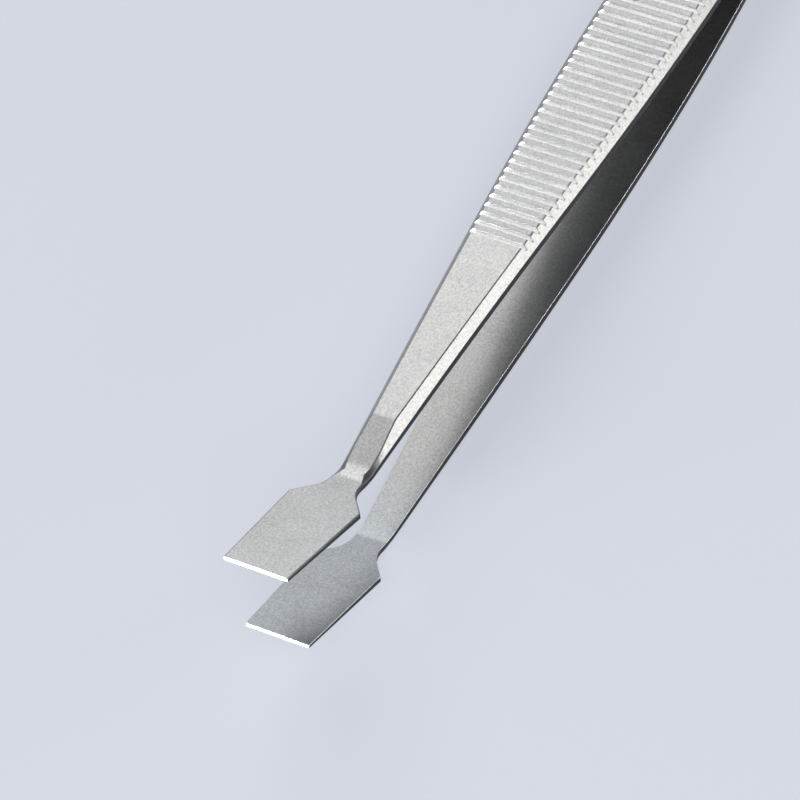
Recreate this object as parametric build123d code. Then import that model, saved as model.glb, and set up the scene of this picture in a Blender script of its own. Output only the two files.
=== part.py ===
from build123d import *
import os
from math import atan, atan2, cos, degrees, radians, sin, sqrt, tan

# Curved spade tweezers, in millimetres.
# Each arm is drawn in its own frame: X runs from the tail end to the blades, Y across the
# width, and Z from the closing plane, where the inner faces meet, out to the finger side.

# Stations along an arm, measured from the tail end
weld_length = 11.0
widest_place = 43.0
taper_place = 71.4
grind_place = 98.7
bend_place = 104.6

# Half of the gap between the inner faces of the two arms, and its slope, at the stations
gap_slope_at_weld = 0.045
gap_place_at_grip = 44.4
half_gap_at_grip = 1.92
gap_slope_at_grip = 0.069
half_gap_at_taper = 3.51
gap_slope_at_taper = 0.051
half_gap_at_grind = 4.26
half_gap_at_bend = 4.34

# Plan of an arm, with the slope of its edge where it narrows
tail_width = 7.2
tail_slope = 0.045
tail_corner_radius = 1.8
grip_width = 9.88
taper_width = 7.58
taper_slope = -0.075
neck_width = 3.0
neck_slope = -0.060

# Section of an arm: a flat finger face between two wide bevels, over low upright edges
stock_thickness = 1.62
edge_height = 0.72
edge_taper_place = 84.0
edge_height_at_bend = 0.52
bevel_inset_at_tail = 1.01
bevel_inset_at_bend = 0.63
bevel_least_inset = 0.38
bevel_run_out = 2.3
neck_sections = 6

# Ribbed grip: grooves run right across the finger face and out over both bevels
rib_pitch = 1.05
rib_count = 41
last_groove_place = 77.7
groove_depth = 0.40
groove_mouth = 0.46
groove_floor = 0.16

# Spade blades
upper_blade_angle = 22.8
lower_blade_angle = 21.8
bend_radius = 4.0
neck_thickness = 0.68
tip_thickness = 0.37
blade_length = 16.35
shoulder_place = 5.0
shoulder_width = 7.12
shoulder_radius = 0.25
tip_width = 6.4
flare_angle = 39.5
flare_radius = 3.0

# Spot welds that hold the arms together leave two shallow dimples on each outer face
weld_spot_radius = 1.3
weld_spot_depth = 0.12
weld_spot_places = (3.4, 7.6)

# Room that a cutting solid has past the faces that it cuts, and the step between the
# points of a long curve
spare = 1.0
sample_step = 4.0


def law(x, stations):
    # a smooth curve through stations of place, value and slope, straight past both ends
    if x <= stations[0][0]:
        place, value, slope = stations[0]
        return value + slope * (x - place)
    for (x0, v0, m0), (x1, v1, m1) in zip(stations, stations[1:]):
        if x <= x1:
            run = x1 - x0
            t = (x - x0) / run
            rise = v0 * (2 * t**3 - 3 * t**2 + 1) + v1 * (3 * t**2 - 2 * t**3)
            return rise + run * (m0 * (t**3 - 2 * t**2 + t) + m1 * (t**3 - t**2))
    place, value, slope = stations[-1]
    return value + slope * (x - place)


def half_gap(x):
    # height of the inner face over the closing plane
    end_slope = (half_gap_at_bend - half_gap_at_grind) / (bend_place - grind_place)
    return max(0.0, law(x, [
        (weld_length, 0.0, gap_slope_at_weld),
        (gap_place_at_grip, half_gap_at_grip, gap_slope_at_grip),
        (taper_place, half_gap_at_taper, gap_slope_at_taper),
        (grind_place, half_gap_at_grind, end_slope),
    ]))


def half_width(x):
    # half of the arm's width in plan
    return law(x, [
        (0.0, tail_width / 2, tail_slope),
        (widest_place, grip_width / 2, 0.0),
        (taper_place, taper_width / 2, taper_slope),
        (bend_place, neck_width / 2, neck_slope),
    ])


def edge_top(x):
    # height of the upright edge over the inner face, which drops towards the bend
    drop = edge_height_at_bend - edge_height
    return law(x, [
        (edge_taper_place, edge_height, 0.0),
        (bend_place, edge_height_at_bend, 2 * drop / (bend_place - edge_taper_place)),
    ])


def thickness(x):
    # thickness of the arm, which the grinding takes down towards the bend
    share = max(0.0, (x - grind_place) / (bend_place - grind_place))
    return stock_thickness + (neck_thickness - stock_thickness) * share


def bevel_lean(x):
    # how far a bevel leans inwards for each millimetre that it rises; it flattens over the
    # ground neck, where it keeps its least width
    inset = bevel_inset_at_tail + (bevel_inset_at_bend - bevel_inset_at_tail) * x / bend_place
    lean = inset / (stock_thickness - edge_height)
    return max(lean, bevel_least_inset / (thickness(x) - edge_top(x)))


def places(start, end):
    # evenly spread places along an arm, both ends included
    count = max(2, round((end - start) / sample_step))
    return [start + (end - start) * i / count for i in range(count + 1)]


def neck_direction():
    return atan2(half_gap_at_bend - half_gap_at_grind, bend_place - grind_place)


def blade_direction(blade_angle):
    return neck_direction() + radians(blade_angle)


def blade_point(blade_angle, along, over):
    # a point in the X-Z plane, measured along the blade's inner face and out from it
    turn = blade_direction(blade_angle)
    x = bend_place + along * cos(turn) - over * sin(turn)
    z = half_gap_at_bend + along * sin(turn) + over * cos(turn)
    return x, z


def side_profile(blade_angle):
    # the arm seen from the side: welded tail, bowed spring, ground neck and bent blade
    inner = [(x, half_gap(x)) for x in places(weld_length, grind_place)]
    outer = [(x, z + stock_thickness) for x, z in inner]
    corner = blade_point(blade_angle, 0, 0)
    tip = blade_point(blade_angle, blade_length, 0)
    outer_tip = blade_point(blade_angle, blade_length, tip_thickness)
    outer_corner = blade_point(blade_angle, neck_thickness * tan(radians(blade_angle) / 2), neck_thickness)
    inner_radius, outer_radius = bend_radius + neck_thickness, bend_radius
    if blade_angle < 0:
        inner_radius, outer_radius = outer_radius, inner_radius
    start_tangent = (1.0, gap_slope_at_weld)
    end_tangent = (cos(neck_direction()), sin(neck_direction()))
    lines = [
        Line((0, 0), inner[0]),
        Spline(*inner, tangents=[start_tangent, end_tangent]),
        FilletPolyline(inner[-1], corner, tip, radius=inner_radius),
        Line(tip, outer_tip),
        FilletPolyline(outer[-1], outer_corner, outer_tip, radius=outer_radius),
        Spline(*outer, tangents=[start_tangent, end_tangent]),
        Line(outer[0], (0, stock_thickness)),
        Line((0, stock_thickness), (0, 0)),
    ]
    face = Plane.XZ * make_face(Curve() + lines)
    return extrude(face, amount=grip_width / 2 + spare, both=True)


def arm_plan():
    # the arm seen from above, as far as the bend
    edge = [(x, half_width(x)) for x in places(0.0, bend_place)]
    side = Spline(*edge, tangents=[(1, tail_slope), (1, neck_slope)])
    ends = [
        Line((0, -tail_width / 2), (0, tail_width / 2)),
        Line((bend_place, neck_width / 2), (bend_place, -neck_width / 2)),
    ]
    face = make_face(Curve() + [side, mirror(side, Plane.XZ)] + ends)
    depth = half_gap_at_bend + stock_thickness + spare
    plan = Pos(0, 0, -spare) * extrude(face, amount=depth + spare)
    tail_corners = plan.edges().filter_by(Axis.Z).group_by(Axis.X)[0]
    return fillet(tail_corners, tail_corner_radius)


def spade_plan(blade_angle):
    # neck, flares, shoulders and square-ended blade, drawn on the bent blade's own plane
    neck = neck_width / 2
    shoulder = shoulder_width / 2
    flare_place = shoulder_place - (shoulder - neck) / tan(radians(flare_angle))
    root = -neck_thickness
    side = FilletPolyline(
        (root, neck), (flare_place, neck), (shoulder_place, shoulder), (blade_length + spare, tip_width / 2),
        radius=[flare_radius, shoulder_radius])
    ends = [
        Line((root, -neck), (root, neck)),
        Line((blade_length + spare, tip_width / 2), (blade_length + spare, -tip_width / 2)),
    ]
    face = make_face(Curve() + [side, mirror(side, Plane.XZ)] + ends)
    corner_x, corner_z = blade_point(blade_angle, 0, 0)
    turn = blade_direction(blade_angle)
    along, out = (cos(turn), 0, sin(turn)), (-sin(turn), 0, cos(turn))
    blade_plane = Plane(origin=(corner_x, 0, corner_z), x_dir=along, z_dir=out)
    return extrude(blade_plane * face, amount=stock_thickness, both=True)


def bevel_section(hand, x, base, edge_y, edge_z, lean):
    # a triangle across the arm, whose long side is the bevel and passes the edge's top corner
    top = base + stock_thickness + spare
    low = (edge_y + lean * (edge_z - base), base)
    high = (edge_y - lean * (top - edge_z), top)
    outside = (low[0] + spare, top)
    corners = [(hand * y, z) for y, z in (low, high, outside)]
    plane = Plane(origin=(x, 0, 0), x_dir=(0, 1, 0), z_dir=(1, 0, 0))
    return plane * make_face(Polyline(*corners, close=True))


def bevel_sections(hand, xs):
    return [
        bevel_section(hand, x, half_gap(x), half_width(x), half_gap(x) + edge_top(x), bevel_lean(x))
        for x in xs]


def bevel_wedge(hand):
    # what is coined off one edge of the finger face, from past the tail end to the grinding
    return loft(bevel_sections(hand, places(-spare, grind_place)))


def bevel_tail(hand, blade_angle):
    # the bevel over the ground neck, which dies out on the flare's arc past the bend
    step = (bend_place - grind_place) / (neck_sections - 1)
    neck = bevel_sections(hand, [grind_place + i * step for i in range(neck_sections)])
    flare_place = shoulder_place - (shoulder_width - neck_width) / 2 / tan(radians(flare_angle))
    into_arc = max(0.0, bevel_run_out - flare_place + flare_radius * tan(radians(flare_angle) / 2))
    edge_y = neck_width / 2 + flare_radius - sqrt(flare_radius**2 - into_arc**2)
    end_thickness = neck_thickness + (tip_thickness - neck_thickness) * bevel_run_out / blade_length
    end_x, end_base = blade_point(blade_angle, bevel_run_out, 0)
    end_z = blade_point(blade_angle, bevel_run_out, end_thickness)[1]
    end = bevel_section(hand, end_x, end_base, edge_y, end_z, bevel_lean(bend_place))
    return loft(neck + [end], ruled=True)


def grip_grooves():
    # one flat-bottomed groove for each rib, square to the finger face where it is cut
    lean = (groove_mouth - groove_floor) / 2 / groove_depth
    mouth = groove_mouth / 2 + lean * groove_depth
    grooves = []
    for i in range(rib_count):
        x = last_groove_place - i * rib_pitch
        slope = half_gap(x + rib_pitch / 2) - half_gap(x - rib_pitch / 2)
        outline = Polyline(
            (-groove_floor / 2, -groove_depth), (groove_floor / 2, -groove_depth),
            (mouth, groove_depth), (-mouth, groove_depth), close=True)
        turn = Rot(0, -degrees(atan(slope / rib_pitch)), 0)
        tool = extrude(Plane.XZ * make_face(outline), amount=grip_width / 2 + spare, both=True)
        grooves.append(Pos(x, 0, half_gap(x) + stock_thickness) * turn * tool)
    return grooves


def weld_dimples():
    height = 2 * weld_spot_depth
    return [Pos(x, 0, stock_thickness) * Cylinder(weld_spot_radius, height) for x in weld_spot_places]


def make_arm(blade_angle):
    arm = side_profile(blade_angle) & (arm_plan() + spade_plan(blade_angle))
    for hand in (1, -1):
        arm = arm - bevel_wedge(hand) - bevel_tail(hand, blade_angle)
    return arm - grip_grooves() - weld_dimples()


def rest_tilt():
    # lying on the lower arm, the tweezers touch down at the tail end and at the grip's belly
    belly = max(half_gap(x) / x for x in places(weld_length, bend_place))
    return degrees(atan(belly))


upper_arm = make_arm(upper_blade_angle)
lower_arm = mirror(make_arm(-lower_blade_angle), Plane.XY)

# Laid down on the lower arm, with the origin on the surface under the middle of the tweezers
tilt = Rot(0, -rest_tilt(), 0)
box = (tilt * Compound([upper_arm, lower_arm])).bounding_box()
lay_down = Pos(-box.center().X, 0, -box.min.Z) * tilt

os.makedirs("parts", exist_ok=True)
for name, arm in (("upper_arm", upper_arm), ("lower_arm", lower_arm)):
    laid = lay_down * arm
    export_step(laid, f"parts/{name}.step")
    print(name, round(laid.volume, 2), laid.bounding_box())
print("rest tilt", round(rest_tilt(), 3), "moved", round(-box.center().X, 3), round(-box.min.Z, 3))
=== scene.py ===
import bpy
import numpy as np
from mathutils import Matrix, Vector


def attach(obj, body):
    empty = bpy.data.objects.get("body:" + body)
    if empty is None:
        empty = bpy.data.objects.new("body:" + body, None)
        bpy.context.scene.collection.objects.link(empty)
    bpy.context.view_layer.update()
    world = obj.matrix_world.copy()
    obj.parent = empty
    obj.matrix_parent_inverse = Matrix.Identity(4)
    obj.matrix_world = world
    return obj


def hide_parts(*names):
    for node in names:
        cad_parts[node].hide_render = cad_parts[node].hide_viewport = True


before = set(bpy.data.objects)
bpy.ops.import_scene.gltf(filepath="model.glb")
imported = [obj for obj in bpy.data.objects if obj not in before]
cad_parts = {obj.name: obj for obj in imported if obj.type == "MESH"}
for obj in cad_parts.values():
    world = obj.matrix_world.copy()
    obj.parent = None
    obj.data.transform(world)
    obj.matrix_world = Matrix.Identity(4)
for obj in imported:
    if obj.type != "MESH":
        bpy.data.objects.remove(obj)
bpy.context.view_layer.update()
print("frame loaded:", sorted(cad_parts))

mm = 0.001

# The camera and the view come first. The camera stands at the tips' side and looks down the
# arms; its three axes are written in the frame of the CAD model.
view = {
    "place": (234.456, 206.690, 411.707),       # millimetres
    "right": (-0.461460, 0.860611, -0.215415),
    "up": (-0.790253, -0.288401, 0.540671),
    "back": (0.403182, 0.419730, 0.813186),
    "lens": 254.21,                             # for a sensor 36 mm wide
    "sensor": 36.0,
}


def makeCamera():
    data = bpy.data.cameras.new("camera")
    data.lens = view["lens"]
    data.sensor_width = view["sensor"]
    camera = bpy.data.objects.new("camera", data)
    bpy.context.scene.collection.objects.link(camera)
    axes = Matrix((view["right"], view["up"], view["back"])).transposed()
    place = Vector(view["place"]) * mm
    camera.matrix_world = Matrix.Translation(place) @ axes.to_4x4()
    bpy.context.scene.camera = camera


makeCamera()
print("camera placed")

# Both arms are pressed from one strip. Millimetres, along an arm from its tail end.
arm = {
    "weldLength": 11.0, "widestPlace": 43.0, "taperPlace": 71.4, "grindPlace": 98.7, "bendPlace": 104.6,
    "gapSlopeAtWeld": 0.045, "gapPlaceAtGrip": 44.4, "halfGapAtGrip": 1.92, "gapSlopeAtGrip": 0.069,
    "halfGapAtTaper": 3.51, "gapSlopeAtTaper": 0.051, "halfGapAtGrind": 4.26, "halfGapAtBend": 4.34,
    "tailWidth": 7.2, "tailSlope": 0.045, "tailCorner": 1.8, "gripWidth": 9.88,
    "taperWidth": 7.58, "taperSlope": -0.075, "neckWidth": 3.0, "neckSlope": -0.060,
    "stock": 1.62, "edgeHeight": 0.72, "edgeTaperPlace": 84.0, "edgeHeightAtBend": 0.52,
    "insetAtTail": 1.01, "insetAtBend": 0.63, "leastInset": 0.38, "bevelRunOut": 2.3,
    "weldSpots": (3.4, 7.6), "weldRadius": 1.3, "weldDepth": 0.12, "weldRim": 0.18,
    "grindSoftness": 0.20,
}
grip = {
    "pitch": 1.05, "count": 41, "lastPlace": 77.7,
    "depth": 0.40, "mouth": 0.46, "floor": 0.16, "lip": 0.035,
}
blade = {
    "length": 16.35, "bendRadius": 4.0, "neckThickness": 0.68, "tipThickness": 0.37,
    "shoulderPlace": 5.0, "shoulderWidth": 7.12, "shoulderSoftness": 0.05, "tipWidth": 6.4,
    "flareAngle": 39.5, "flareRadius": 3.0, "tipCorner": 0.05,
    "upperAngle": 22.8, "lowerAngle": -21.8,
}
# how far the corners of the section are rounded, from the inner face round to the flat
rounding = {"inner": 0.05, "edge": 0.09, "flat": 0.20, "least": 0.045, "end": 0.05}
# how many pieces each side of the section and each rounded corner is cut into, and the most of
# a side that one corner's rounding may take
mesh = {"inner": 10, "edge": 2, "bevel": 3, "flat": 18, "corner": 4, "capRings": 3, "cornerShare": 0.42}
# the six sides of the section, from the first upright edge round to the inner face
sideNames = ("edge", "bevel", "flat", "bevel", "edge", "inner")
# how far along the arm, in millimetres, the grip colour turns to the blade colour, and the painted shade of
# the inner face lightens towards the bend
blend = {"innerLead": 1.0, "innerRun": 6.0, "bladeRun": 1.5}


def law(x, stations):  # cubic pieces through (place, value, slope), straight past both ends
    place, value, slope = np.array(stations, float).T
    i = np.clip(np.searchsorted(place, x) - 1, 0, len(place) - 2)
    run = place[i + 1] - place[i]
    t = np.clip((x - place[i]) / run, 0, 1)
    steps = value[i] * (2 * t**3 - 3 * t**2 + 1) + value[i + 1] * (3 * t**2 - 2 * t**3)
    bends = run * (slope[i] * (t**3 - 2 * t**2 + t) + slope[i + 1] * (t**3 - t**2))
    return steps + bends + slope[0] * np.minimum(x - place[0], 0) + slope[-1] * np.maximum(x - place[-1], 0)


def softRamp(x, r):  # nought below, x above, and a parabola of half length r between
    return np.where(x < -r, 0, np.where(x > r, x, (x + r)**2 / (4 * r)))


def neckSlope():
    return (arm["halfGapAtBend"] - arm["halfGapAtGrind"]) / (arm["bendPlace"] - arm["grindPlace"])


def halfGap(x):
    return np.maximum(0, law(x, [
        (arm["weldLength"], 0, arm["gapSlopeAtWeld"]),
        (arm["gapPlaceAtGrip"], arm["halfGapAtGrip"], arm["gapSlopeAtGrip"]),
        (arm["taperPlace"], arm["halfGapAtTaper"], arm["gapSlopeAtTaper"]),
        (arm["grindPlace"], arm["halfGapAtGrind"], neckSlope()),
    ]))


def armHalfWidth(x):
    return law(x, [
        (0, arm["tailWidth"] / 2, arm["tailSlope"]),
        (arm["widestPlace"], arm["gripWidth"] / 2, 0),
        (arm["taperPlace"], arm["taperWidth"] / 2, arm["taperSlope"]),
        (arm["bendPlace"], arm["neckWidth"] / 2, arm["neckSlope"]),
    ])


def flareStart():
    flare = np.radians(blade["flareAngle"])
    run = (blade["shoulderWidth"] - arm["neckWidth"]) / 2 / np.tan(flare)
    return blade["shoulderPlace"] - run - blade["flareRadius"] * np.tan(flare / 2)


def spadeHalfWidth(q):
    # neck, an arc into the straight flare, and the lesser of flare and blade side past the shoulder
    flare, r = np.radians(blade["flareAngle"]), blade["flareRadius"]
    start = flareStart()
    end = start + r * np.sin(flare)
    arc = r - np.sqrt(r**2 - np.clip(q - start, 0, r * np.sin(flare))**2)
    rising = arm["neckWidth"] / 2 + arc + np.maximum(q - end, 0) * np.tan(flare)
    fall = (blade["shoulderWidth"] - blade["tipWidth"]) / 2 / (blade["length"] - blade["shoulderPlace"])
    side = blade["shoulderWidth"] / 2 - fall * (q - blade["shoulderPlace"])
    outline = rising - softRamp(rising - side, blade["shoulderSoftness"])
    left = np.clip(blade["tipCorner"] - (blade["length"] - q), 0, blade["tipCorner"])
    return outline - (blade["tipCorner"] - np.sqrt(blade["tipCorner"]**2 - left**2))


def tailRounding(x):
    r = arm["tailCorner"]
    return r - np.sqrt(r**2 - np.clip(r - x, 0, r)**2)


def grooveDepth(x):
    # a flat-bottomed groove with sloping walls and softened lips, repeated at the rib pitch
    first = grip["lastPlace"] - (grip["count"] - 1) * grip["pitch"]
    n = np.clip(np.round((x - first) / grip["pitch"]), 0, grip["count"] - 1)
    away = np.abs(x - first - n * grip["pitch"])
    wall = (grip["mouth"] - grip["floor"]) / 2
    ramp = softRamp(grip["mouth"] / 2 - away, grip["lip"]) - softRamp(grip["floor"] / 2 - away, grip["lip"])
    return grip["depth"] * ramp / wall


def filletedPath(q, start, corner, end, before, after, radius):
    # q runs from -before at start through 0 at the corner to after at end; the corner is an arc
    a, b = corner - start, end - corner
    lengthA, lengthB = np.hypot(*a), np.hypot(*b)
    u, v = a / lengthA, b / lengthB
    turn = np.arccos(np.clip(u @ v, -1, 1))
    tangent = radius * np.tan(turn / 2)
    s = np.where(q < 0, q * lengthA / before, q * lengthB / after)
    straight = corner + np.where(s[:, None] < 0, s[:, None] * u, s[:, None] * v)
    bulge = (v - u) / np.hypot(*(v - u))
    centre = corner + bulge * radius / np.cos(turn / 2)
    swing = turn * np.clip(s / (2 * tangent), -0.5, 0.5)
    along = (u + v) / np.hypot(*(u + v))
    arc = centre + radius * (np.sin(swing)[:, None] * along - np.cos(swing)[:, None] * bulge)
    return np.where(np.abs(s)[:, None] < tangent, arc, straight)


def sideLines(s, angle):
    # the inner and outer line of the arm, seen from the side, at places s along it
    bend, grind = arm["bendPlace"], arm["grindPlace"]
    neck = np.arctan(neckSlope())
    turn = neck + np.radians(angle)
    along, out = np.array([np.cos(turn), np.sin(turn)]), np.array([-np.sin(turn), np.cos(turn)])
    corner = np.array([bend, arm["halfGapAtBend"]])
    outerCorner = corner + blade["neckThickness"] * (along * np.tan(np.radians(angle) / 2) + out)
    tip = corner + along * blade["length"]
    outerTip = tip + out * blade["tipThickness"]
    start = np.array([grind, arm["halfGapAtGrind"]])
    outerStart = start + [0, arm["stock"]]
    innerRadius, outerRadius = blade["bendRadius"] + blade["neckThickness"], blade["bendRadius"]
    if angle < 0:
        innerRadius, outerRadius = outerRadius, innerRadius
    q = s - bend
    spring = np.stack([s, halfGap(s)], 1)
    before = bend - grind
    inner = np.where(
        s[:, None] < grind, spring,
        filletedPath(q, start, corner, tip, before, blade["length"], innerRadius))
    ground = filletedPath(q, outerStart, outerCorner, outerTip, before, blade["length"], outerRadius)
    slope = (outerCorner - outerStart)[1] / (outerCorner - outerStart)[0]
    facet = outerStart[1] + slope * (s - grind)
    flat = halfGap(s) + arm["stock"]
    nearGrind = flat - softRamp(flat - facet, arm["grindSoftness"] * 0.1)
    pressed = np.stack([s, np.where(s < grind - 1, flat, nearGrind) - grooveDepth(s)], 1)
    outer = np.where(s[:, None] < grind + 1, pressed, ground)
    return inner, outer


def stationPlaces():
    # places along the arm, close together at the ends, in the grooves and round the bend
    tail = arm["tailCorner"] * (1 - np.cos(np.linspace(0, np.pi / 2, 22)))
    tailEnd = rounding["end"] * (1 - np.cos(np.linspace(0, np.pi / 2, 5)))
    spots = np.arange(2.7, 9.6, 0.16)
    half = grip["mouth"] / 2
    foot = grip["floor"] / 2
    lip = grip["lip"]
    oneSide = np.array([0.0, foot - lip, foot, foot + lip, (half + foot) / 2, half - lip, half, half + lip,
                        half + 3 * lip, grip["pitch"] / 2 - 0.01])
    offsets = np.unique(np.concatenate([-oneSide, oneSide]))
    centres = grip["lastPlace"] - grip["pitch"] * np.arange(grip["count"])
    grooves = (centres[:, None] + offsets).ravel()
    firstGroove, lastGroove = centres.min(), centres.max()
    bend, length = arm["bendPlace"], blade["length"]
    shoulder = bend + blade["shoulderPlace"]
    parts = [
        tailEnd, tail, spots, np.arange(10, firstGroove - 0.7, 0.5), grooves,
        np.arange(lastGroove + 0.8, arm["grindPlace"] - 0.5, 0.5),
        np.arange(arm["grindPlace"] - 0.5, arm["grindPlace"] + 0.5, 0.06),
        np.arange(arm["grindPlace"] + 0.6, bend - 1.4, 0.3),
        np.arange(bend - 1.3, bend + 1.5, 0.09),
        np.arange(bend + 1.5, shoulder - 0.2, 0.11),
        np.arange(shoulder - 0.16, shoulder + 0.2, 0.02),
        np.arange(shoulder + 0.3, bend + length - 0.3, 0.5),
        bend + length - blade["tipCorner"] * (1 - np.cos(np.linspace(0, np.pi / 2, 7))),
        bend + length - rounding["end"] * (1 - np.cos(np.linspace(0, np.pi / 2, 5))),
    ]
    places = np.unique(np.round(np.concatenate(parts), 5))
    close = np.diff(places) < 0.004
    return places[np.concatenate([[True], ~close])]


def sectionCorners(s, thick):
    # half width, edge height and flat half width of the six-sided section, at each place
    bend, q = arm["bendPlace"], s - arm["bendPlace"]
    inArm = q < 0
    half = np.where(inArm, armHalfWidth(s) - tailRounding(s), spadeHalfWidth(np.maximum(q, 0)))
    drop = 2 * (arm["edgeHeightAtBend"] - arm["edgeHeight"]) / (bend - arm["edgeTaperPlace"])
    edge = law(np.minimum(s, bend), [
        (arm["edgeTaperPlace"], arm["edgeHeight"], 0), (bend, arm["edgeHeightAtBend"], drop)])
    # how far a bevel leans in for each millimetre of rise; it flattens over the ground neck
    inset = arm["insetAtTail"] + (arm["insetAtBend"] - arm["insetAtTail"]) * np.minimum(s, bend) / bend
    ground = np.clip((s - arm["grindPlace"]) / (bend - arm["grindPlace"]), 0, 1)
    plain = arm["stock"] + (blade["neckThickness"] - arm["stock"]) * ground
    lean = np.maximum(inset / (arm["stock"] - arm["edgeHeight"]), arm["leastInset"] / (plain - edge))
    # past the bend the bevel dies out on the flare's arc
    share = np.clip(q / arm["bevelRunOut"], 0, 1)
    endThick = blade["neckThickness"] + (
        blade["tipThickness"] - blade["neckThickness"]) * arm["bevelRunOut"] / blade["length"]
    endHalf = spadeHalfWidth(np.array([arm["bevelRunOut"]]))[0]
    edge = edge + (endThick - edge) * share
    neckHalf = arm["neckWidth"] / 2
    planeHalf = np.where(inArm, armHalfWidth(s), neckHalf + (endHalf - neckHalf) * share)
    edge = edge + (planeHalf - half) / lean
    edge = np.where(share < 1, edge, thick)
    edge = np.clip(edge, 0.1, thick - rounding["least"])
    flatHalf = half - np.maximum(lean * (thick - edge), 0.8 * rounding["least"])
    return half, edge, flatHalf


def roundedRing(corners, radii):
    # each corner of the section becomes a short curve, and each side is cut into equal steps
    count = corners.shape[1]
    sides = [mesh[name] for name in sideNames]
    before = corners - np.roll(corners, 1, 1)
    after = np.roll(corners, -1, 1) - corners
    lengthBefore = np.linalg.norm(before, axis=2, keepdims=True)
    lengthAfter = np.linalg.norm(after, axis=2, keepdims=True)
    u, v = before / lengthBefore, after / lengthAfter
    turn = np.arccos(np.clip((u * v).sum(2, keepdims=True), -1, 1))
    room = mesh["cornerShare"] * np.minimum(lengthBefore, lengthAfter)
    tangent = np.minimum(radii[:, :, None] * np.tan(turn / 2), room)
    start, end = corners - u * tangent, corners + v * tangent
    t = np.linspace(0, 1, mesh["corner"] + 1)[None, :, None]
    ring = []
    for k in range(count):
        a, c, b = start[:, None, k], corners[:, None, k], end[:, None, k]
        ring.append((1 - t)**2 * a + 2 * t * (1 - t) * c + t**2 * b)
        w = np.linspace(0, 1, sides[k] + 1)[None, 1:-1, None]
        following = start[:, None, (k + 1) % count]
        ring.append(b + (following - b) * w)
    return np.concatenate(ring, 1)


def ringMarks():
    # for each point of the ring: how far it is on an upright edge, on a bevel, on the grip flat,
    # on the inner face, and on the rim between that face and the upright edges, which gets a painted
    # highlight.
    # a mark changes inside a rounded corner, from the value of the side before to that after
    t = np.linspace(0, 1, mesh["corner"] + 1)
    marks = {}
    for mark, marked in (("upright", "edge"), ("bevel", "bevel"), ("gripFlat", "flat"), ("inner", "inner")):
        onSide = [float(name == marked) for name in sideNames]
        ring = []
        for k, name in enumerate(sideNames):
            ring += list(onSide[k - 1] + (onSide[k] - onSide[k - 1]) * t)
            ring += [onSide[k]] * (mesh[name] - 1)
        marks[mark] = np.array(ring)
    # a painted highlight line along the rounded corners beside the inner face
    rimHighlight = []
    for k, name in enumerate(sideNames):
        besideInner = "inner" in (name, sideNames[k - 1])
        rimHighlight += list(4 * t * (1 - t) * besideInner) + [0.0] * (mesh[name] - 1)
    marks["rimHighlight"] = np.array(rimHighlight)
    return marks


def armSurface(angle):
    # a six-sided section with rounded corners, carried along the arm from tail end to blade end
    s = stationPlaces()
    inner, outer = sideLines(s, angle)
    across = outer - inner
    thick = np.linalg.norm(across, axis=1)
    across = across / thick[:, None]
    half, edge, flatHalf = sectionCorners(s, thick)
    r = rounding["end"]
    fromTail, fromTip = s, arm["bendPlace"] + blade["length"] - s
    left = np.clip(r - np.minimum(fromTail, fromTip), 0, r)
    inset = r - np.sqrt(np.maximum(r**2 - left**2, 0))
    half, flatHalf = half - inset, flatHalf - inset
    low, high = inset, thick - inset
    corners = np.stack([
        np.stack([half, low], 1), np.stack([half, edge], 1), np.stack([flatHalf, high], 1),
        np.stack([-flatHalf, high], 1), np.stack([-half, edge], 1), np.stack([-half, low], 1)], 1)
    radius = np.array([rounding[k] for k in ("inner", "edge", "flat", "flat", "edge", "inner")])
    ring = roundedRing(corners, np.broadcast_to(radius, (len(s), 6)))
    y, z = ring[:, :, 0], ring[:, :, 1]
    # weld dimples, only in the flat's own points
    for place in arm["weldSpots"]:
        away = np.hypot(s[:, None] - place, y)
        dent = np.clip((arm["weldRadius"] - away) / arm["weldRim"] + 0.5, 0, 1)
        z = z - arm["weldDepth"] * dent**2 * (3 - 2 * dent) * (z > high[:, None] - 1e-4)
    points = np.stack([
        inner[:, 0, None] + across[:, 0, None] * z, y, inner[:, 1, None] + across[:, 1, None] * z], 2)
    ringMark = ringMarks()
    onFlat = np.clip(2 * ringMark.pop("gripFlat") - 1, 0, 1)
    # the groove mask sets where the grooves get a painted highlight
    groove = (grooveDepth(s) / grip["depth"])[:, None] * onFlat
    first, last = grip["lastPlace"] - (grip["count"] - 1) * grip["pitch"], grip["lastPlace"]
    rib = ((s > first) & (s < last)).astype(float)[:, None] * onFlat
    # the blade ends get a painted highlight
    nearTip = np.broadcast_to(np.clip(1 - fromTip / r, 0, 1)[:, None], y.shape)
    pastBend = np.clip((s - arm["bendPlace"]) / blend["bladeRun"], 0, 1)
    pastGrind = np.clip((s - arm["grindPlace"] + blend["innerLead"]) / blend["innerRun"], 0, 1)
    marks = {
        "groove": groove, "rib": rib, "tipHighlight": nearTip,
        "onBlade": np.broadcast_to(pastBend[:, None], y.shape),
        "nearBend": np.broadcast_to(pastGrind[:, None], y.shape),
    }
    for name, ringValue in ringMark.items():
        marks[name] = np.broadcast_to(ringValue[None], y.shape)
    return points, marks


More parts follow.
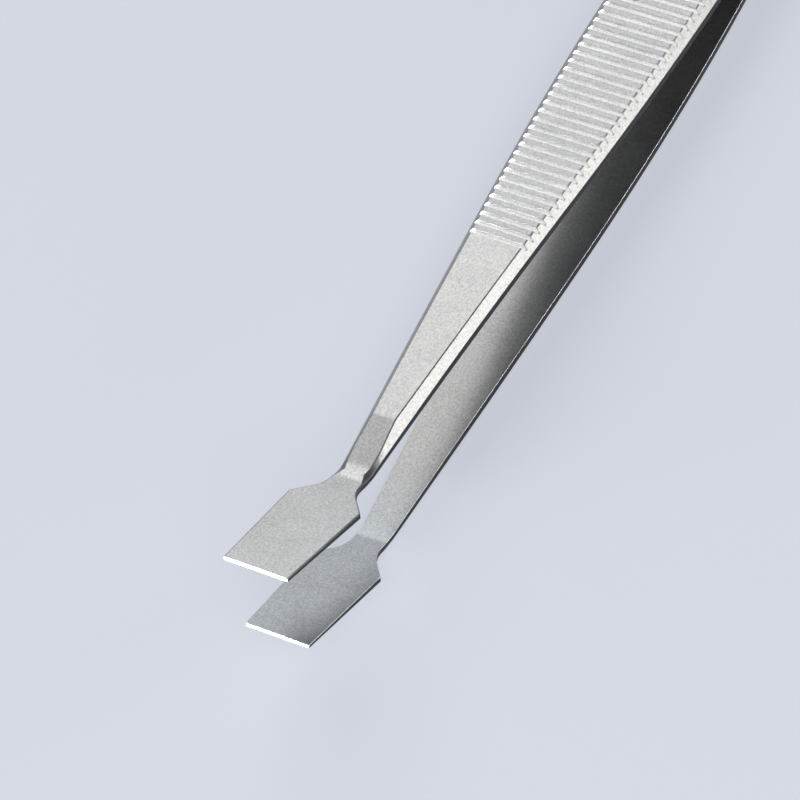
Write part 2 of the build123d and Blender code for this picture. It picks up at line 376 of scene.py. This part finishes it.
def closeTube(points, marks):
    # quads round the tube, then rings that shrink to a point over each end
    rows, n, _ = points.shape
    caps = mesh["capRings"]
    rings = [points]
    for row in (0, -1):
        centre = points[row].mean(0)
        shrink = 1 - np.arange(1, caps + 1)[:, None, None] / (caps + 1)
        rings.append(centre + (points[row] - centre) * shrink)
    vertices = np.concatenate([g.reshape(-1, 3) for g in rings] + [points[:1].mean(1), points[-1:].mean(1)])
    order = np.arange(rows * n).reshape(rows, n)
    firstCap = rows * n + np.arange(caps * n).reshape(caps, n)
    lastCap = firstCap + caps * n
    sheets = [order, np.vstack([firstCap[::-1], order[:1]]), np.vstack([order[-1:], lastCap])]
    quads = []
    for g in sheets:
        a, b = g[:-1], g[1:]
        quads.append(np.stack([a, b, np.roll(b, -1, 1), np.roll(a, -1, 1)], 2).reshape(-1, 4))
    quads = np.concatenate(quads)
    tailPoint, tipPoint = len(vertices) - 2, len(vertices) - 1
    inTail, inTip = firstCap[-1], lastCap[-1]
    tailFan = np.stack([inTail, np.roll(inTail, -1), np.full(n, tailPoint)], 1)
    tipFan = np.stack([np.roll(inTip, -1), inTip, np.full(n, tipPoint)], 1)
    values = {}
    for name, mark in marks.items():
        flat = mark.reshape(-1)
        ends = [np.tile(mark[0], caps), np.tile(mark[-1], caps), mark[0, :1], mark[-1, :1]]
        values[name] = np.concatenate([flat] + ends)
    return vertices, quads, np.concatenate([tailFan, tipFan]), values


def areaNormals(vertices, quads, triangles):
    # each vertex takes the mean of its faces' normals by area, so that flats stay flat
    total = np.zeros_like(vertices)
    for faces in (quads, triangles):
        corner = vertices[faces]
        if faces.shape[1] == 4:
            area = np.cross(corner[:, 2] - corner[:, 0], corner[:, 3] - corner[:, 1])
        else:
            area = np.cross(corner[:, 1] - corner[:, 0], corner[:, 2] - corner[:, 0])
        area = area * np.linalg.norm(area, axis=1, keepdims=True)**0.5
        for k in range(faces.shape[1]):
            for axis in range(3):
                total[:, axis] += np.bincount(faces[:, k], area[:, axis], len(vertices))
    return total / np.maximum(np.linalg.norm(total, axis=1, keepdims=True), 1e-12)


def makePiece(name, vertices, quads, triangles, values):
    # numpy arrays into one mesh, in metres, with its attributes and smooth normals
    data = bpy.data.meshes.new(name)
    faceCount = len(quads) + len(triangles)
    loops = np.concatenate([quads.ravel(), triangles.ravel()])
    starts = np.concatenate([np.arange(len(quads)) * 4, len(quads) * 4 + np.arange(len(triangles)) * 3])
    data.vertices.add(len(vertices))
    data.vertices.foreach_set("co", (vertices * mm).ravel())
    data.loops.add(len(loops))
    data.loops.foreach_set("vertex_index", loops)
    data.polygons.add(faceCount)
    data.polygons.foreach_set("loop_start", starts)
    data.polygons.foreach_set("use_smooth", np.ones(faceCount, bool))
    data.update(calc_edges=True)
    data.validate()
    for key, value in values.items():
        attribute = data.attributes.new(key, "FLOAT", "POINT")
        attribute.data.foreach_set("value", value.astype(np.float32))
    data.normals_split_custom_set_from_vertices(areaNormals(vertices, quads, triangles))
    piece = bpy.data.objects.new(name, data)
    bpy.context.scene.collection.objects.link(piece)
    return piece


def restTurn():
    # lying on the lower arm, the tweezers touch down at the tail end and at the grip's belly
    x = np.linspace(arm["weldLength"], arm["bendPlace"], 24)
    return np.arctan((halfGap(x) / x).max())


def layDown(vertices, shift):
    c, s = np.cos(restTurn()), np.sin(restTurn())
    x, y, z = vertices.T
    return np.stack([x * c - z * s + shift[0], y, x * s + z * c + shift[2]], 1)


# The two arms are mirror images about the closing plane, apart from the bend of the blade
shapes = {}
for name, angle in (("upper_arm", blade["upperAngle"]), ("lower_arm", blade["lowerAngle"])):
    points, marks = armSurface(angle)
    shapes[name] = closeTube(points, marks)
    print(name, "section points", points.shape[:2])

lowerVertices, lowerQuads, lowerTriangles, lowerValues = shapes["lower_arm"]
shapes["lower_arm"] = (
    lowerVertices * [1, 1, -1], lowerQuads[:, ::-1], lowerTriangles[:, ::-1], lowerValues)

# the frame's origin is on the surface, under the middle of the tweezers
laid = np.concatenate([layDown(shape[0], (0, 0, 0)) for shape in shapes.values()])
middle = (laid.min(0) + laid.max(0)) / 2
shift = (-middle[0], 0, -laid.min(0)[2])
arms = {}
for name, (vertices, quads, triangles, values) in shapes.items():
    piece = makePiece(name.replace("_", "-"), layDown(vertices, shift), quads, triangles, values)
    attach(piece, "root")
    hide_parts(name)
    arms[name] = piece
print("arms made, tilt", round(float(np.degrees(restTurn())), 3))

steel = {
    "colour": (0.42, 0.42, 0.415),
    "bladeColour": (0.51, 0.515, 0.505),
    "ribColour": (0.355, 0.355, 0.36),
    # painted shade: the inner faces between the arms are darker, and lighter again towards the bend
    "innerShadeColour": (0.33, 0.33, 0.325),
    "innerShadeNearBendColour": (0.345, 0.362, 0.375),
    # painted shade: both bevels darker than the grip face, standing in for the dark reflection a bevel
    # shows
    "bevelShadeColour": (0.27, 0.268, 0.258),
    # painted shade: the upright edges are painted nearly black, standing in for the dark reflections they
    # show
    "edgeShadeColour": (0.035, 0.033, 0.03),
    # painted highlight: the groove walls, the rims beside the inner face and the blade ends are painted
    # near white
    "highlightColour": (0.95, 0.95, 0.94),
    "grooveHighlightRamp": (0.05, 0.40),   # share of the groove's depth over which it turns bright
    "roughness": 0.34, "roughnessSpread": 0.03,
    "grainSize": 0.20,       # millimetres
    "grainBump": 0.004,      # millimetres
    "grainShade": 0.50,
    "cloudSize": 3.0,        # millimetres
    "cloudShade": 0.15,
}


def addNode(tree, kind, **settings):
    node = tree.nodes.new(kind)
    for key, value in settings.items():
        setattr(node, key, value)
    return node


def blastGrain():
    # sand-blasted grain: fine noise as a mask, and slow clouds as a second mask
    group = bpy.data.node_groups.new("blastGrain", "ShaderNodeTree")
    for name in ("grainScale", "cloudScale"):
        group.interface.new_socket(name, in_out="INPUT", socket_type="NodeSocketFloat")
    for name in ("grain", "cloud"):
        group.interface.new_socket(name, in_out="OUTPUT", socket_type="NodeSocketFloat")
    inputs = addNode(group, "NodeGroupInput")
    outputs = addNode(group, "NodeGroupOutput")
    place = addNode(group, "ShaderNodeTexCoord")
    fine = addNode(group, "ShaderNodeTexNoise")
    fine.inputs["Detail"].default_value = 2.0
    fine.inputs["Roughness"].default_value = 0.6
    slow = addNode(group, "ShaderNodeTexNoise")
    slow.inputs["Detail"].default_value = 3.0
    link = group.links.new
    for texture, scale in ((fine, "grainScale"), (slow, "cloudScale")):
        link(place.outputs["Object"], texture.inputs["Vector"])
        link(inputs.outputs[scale], texture.inputs["Scale"])
    link(fine.outputs["Fac"], outputs.inputs["grain"])
    link(slow.outputs["Fac"], outputs.inputs["cloud"])
    return group


def shade(tree, mask, low, high, start=0, end=1):
    # a map of a mask from start..end to low..high
    node = addNode(tree, "ShaderNodeMapRange")
    node.inputs["From Min"].default_value = start
    node.inputs["From Max"].default_value = end
    node.inputs["To Min"].default_value = low
    node.inputs["To Max"].default_value = high
    tree.links.new(mask, node.inputs["Value"])
    return node.outputs["Result"]


def mixColour(tree, mask, a, b):
    node = addNode(tree, "ShaderNodeMix", data_type="RGBA")
    tree.links.new(mask, node.inputs["Factor"])
    for socket, value in (("A", a), ("B", b)):
        target = [i for i in node.inputs if i.name == socket and i.type == "RGBA"][0]
        if isinstance(value, tuple):
            target.default_value = (*value, 1)
        else:
            tree.links.new(value, target)
    return [o for o in node.outputs if o.type == "RGBA"][0]


def blastedSteelWithPaintedLight(grainGroup):
    material = bpy.data.materials.new("blastedSteelWithPaintedLight")
    material.use_nodes = True
    tree = material.node_tree
    link = tree.links.new
    shader = tree.nodes["Principled BSDF"]
    shader.inputs["Metallic"].default_value = 1.0
    grain = addNode(tree, "ShaderNodeGroup", node_tree=grainGroup)
    grain.inputs["grainScale"].default_value = 1 / (steel["grainSize"] * mm)
    grain.inputs["cloudScale"].default_value = 1 / (steel["cloudSize"] * mm)
    # painted shade: the upright sheared edges are painted nearly black, and the bevels and inner faces
    # darker than the grip face, standing in for dark reflections and the shade between the arms; painted
    # highlights: the grooves, the rims and the blade ends bright
    masks = {}
    for name in ("onBlade", "nearBend", "inner", "bevel", "rib", "groove", "upright", "rimHighlight", "tipHighlight"):
        masks[name] = addNode(tree, "ShaderNodeAttribute", attribute_name=name).outputs["Fac"]
    # painted shade on the inner faces, lifting towards the bend
    inside = mixColour(tree, masks["nearBend"], steel["innerShadeColour"], steel["innerShadeNearBendColour"])
    # this colour carries the steel's own tone together with the painted shade and painted highlights
    toneWithPaintedLight = mixColour(tree, masks["onBlade"], steel["colour"], steel["bladeColour"])
    toneWithPaintedLight = mixColour(tree, masks["inner"], toneWithPaintedLight, inside)
    for name, colour in (
            ("bevel", "bevelShadeColour"), ("rib", "ribColour"), ("groove", "highlightColour"),
            ("upright", "edgeShadeColour"), ("rimHighlight", "highlightColour"), ("tipHighlight", "highlightColour")):
        start, end = steel["grooveHighlightRamp"] if name == "groove" else (0, 1)
        toneWithPaintedLight = mixColour(tree, shade(tree, masks[name], 0, 1, start, end), toneWithPaintedLight, steel[colour])
    fine = shade(tree, grain.outputs["grain"], 1 - steel["grainShade"], 1 + steel["grainShade"])
    slow = shade(tree, grain.outputs["cloud"], 1 - steel["cloudShade"], 1 + steel["cloudShade"])
    both = addNode(tree, "ShaderNodeMath", operation="MULTIPLY")
    link(fine, both.inputs[0])
    link(slow, both.inputs[1])
    tint = addNode(tree, "ShaderNodeVectorMath", operation="SCALE")
    link(toneWithPaintedLight, tint.inputs[0])
    link(both.outputs[0], tint.inputs["Scale"])
    link(tint.outputs["Vector"], shader.inputs["Base Color"])
    low, high = steel["roughness"] - steel["roughnessSpread"], steel["roughness"] + steel["roughnessSpread"]
    link(shade(tree, grain.outputs["cloud"], low, high), shader.inputs["Roughness"])
    bump = addNode(tree, "ShaderNodeBump")
    bump.inputs["Distance"].default_value = steel["grainBump"] * mm
    bump.inputs["Strength"].default_value = 1.0
    link(grain.outputs["grain"], bump.inputs["Height"])
    link(bump.outputs["Normal"], shader.inputs["Normal"])
    return material


grainGroup = blastGrain()
finish = blastedSteelWithPaintedLight(grainGroup)
for piece in arms.values():
    piece.data.materials.append(finish)
print("steel finish made")

# Floor and a low wall round it, in the pale blue grey of the background
studio = {
    "colour": (0.665, 0.695, 0.773),
    "litShare": 0.4,         # how much of the floor's colour comes from the lamps, with the shadow
    "floorSize": 6.0,
    "wallRadius": 2.8, "wallHeight": 0.5,
    "worldStrength": 0.10,
}


def paleMaterial(name, litShare):
    # partly lit, and partly shown at its own colour to the camera and to reflections
    material = bpy.data.materials.new(name)
    material.use_nodes = True
    tree = material.node_tree
    shader = tree.nodes["Principled BSDF"]
    shader.inputs["Base Color"].default_value = (*[c * litShare for c in studio["colour"]], 1)
    shader.inputs["Roughness"].default_value = 0.9
    shader.inputs["Specular IOR Level"].default_value = 0.0
    shader.inputs["Emission Color"].default_value = (*studio["colour"], 1)
    path = addNode(tree, "ShaderNodeLightPath")
    seen = addNode(tree, "ShaderNodeMath", operation="MAXIMUM")
    tree.links.new(path.outputs["Is Camera Ray"], seen.inputs[0])
    tree.links.new(path.outputs["Is Glossy Ray"], seen.inputs[1])
    seenToo = addNode(tree, "ShaderNodeMath", operation="MAXIMUM")
    tree.links.new(seen.outputs[0], seenToo.inputs[0])
    tree.links.new(path.outputs["Is Transmission Ray"], seenToo.inputs[1])
    strength = addNode(tree, "ShaderNodeMath", operation="MULTIPLY")
    strength.inputs[1].default_value = 1 - litShare
    tree.links.new(seenToo.outputs[0], strength.inputs[0])
    tree.links.new(strength.outputs[0], shader.inputs["Emission Strength"])
    return material


def makeFloor():
    half = studio["floorSize"] / 2
    data = bpy.data.meshes.new("floor")
    corners = [(-half, -half, 0), (half, -half, 0), (half, half, 0), (-half, half, 0)]
    data.from_pydata(corners, [], [(0, 1, 2, 3)])
    floor = bpy.data.objects.new("floor", data)
    bpy.context.scene.collection.objects.link(floor)
    data.materials.append(paleMaterial("paleFloor", studio["litShare"]))


def makeWall():
    # a cylinder round the floor, seen only in flat views
    n = 96
    a = np.linspace(0, 2 * np.pi, n, endpoint=False)
    ring = studio["wallRadius"] * np.stack([np.cos(a), np.sin(a)], 1)
    low = np.column_stack([ring, np.zeros(n)])
    high = np.column_stack([ring, np.full(n, studio["wallHeight"])])
    i = np.arange(n)
    quads = np.stack([i, np.roll(i, -1), np.roll(i, -1) + n, i + n], 1)[:, ::-1]
    data = bpy.data.meshes.new("wall")
    data.from_pydata(np.concatenate([low, high]).tolist(), [], quads.tolist())
    wall = bpy.data.objects.new("wall", data)
    bpy.context.scene.collection.objects.link(wall)
    data.materials.append(paleMaterial("paleWall", 0))


makeFloor()
makeWall()
world = bpy.data.worlds.new("studioWorld")
bpy.context.scene.world = world
world.use_nodes = True
world.node_tree.nodes["Background"].inputs["Color"].default_value = (0.9, 0.95, 1.0, 1)
world.node_tree.nodes["Background"].inputs["Strength"].default_value = studio["worldStrength"]

# Soft boxes: the direction each one stands in from the tweezers, its distance and size in
# metres, and its radiance, where 1 is the white of the picture
boxes = {
    "main": {"toward": (-0.56, -0.43, 0.71), "away": 0.8, "size": (0.50, 0.40), "radiance": 1.82},
    "low": {"toward": (-0.82, -0.40, 0.42), "away": 1.0, "size": (0.6, 0.26), "radiance": 1.9},
    "right": {"toward": (-0.47, 0.87, 0.18), "away": 0.8, "size": (0.5, 0.26), "radiance": 6.0},
    "ahead": {"toward": (0.89, -0.40, 0.11), "away": 0.8, "size": (0.36, 0.15), "radiance": 50.0},
    "top": {"toward": (-0.18, -0.36, 0.91), "away": 1.0, "size": (0.5, 0.5), "radiance": 1.0},
    "fill": {"toward": (0.50, 0.42, 0.76), "away": 0.9, "size": (0.5, 0.5), "radiance": 6.0},
    "rear": {"toward": (0.62, -0.68, 0.38), "away": 1.0, "size": (0.8, 0.5), "radiance": 1.4},
}


def makeBox(name, box):
    data = bpy.data.lights.new(name, "AREA")
    data.shape = "RECTANGLE"
    data.size, data.size_y = box["size"]
    area = box["size"][0] * box["size"][1]
    data.energy = box["radiance"] * area * np.pi
    lamp = bpy.data.objects.new(name, data)
    bpy.context.scene.collection.objects.link(lamp)
    direction = Vector(box["toward"]).normalized()
    turn = direction.to_track_quat("Z", "Y").to_matrix().to_4x4()
    lamp.matrix_world = Matrix.Translation(direction * box["away"]) @ turn


for name, box in boxes.items():
    makeBox(name, box)
print("studio lit")

bpy.context.scene.view_settings.view_transform = "Standard"
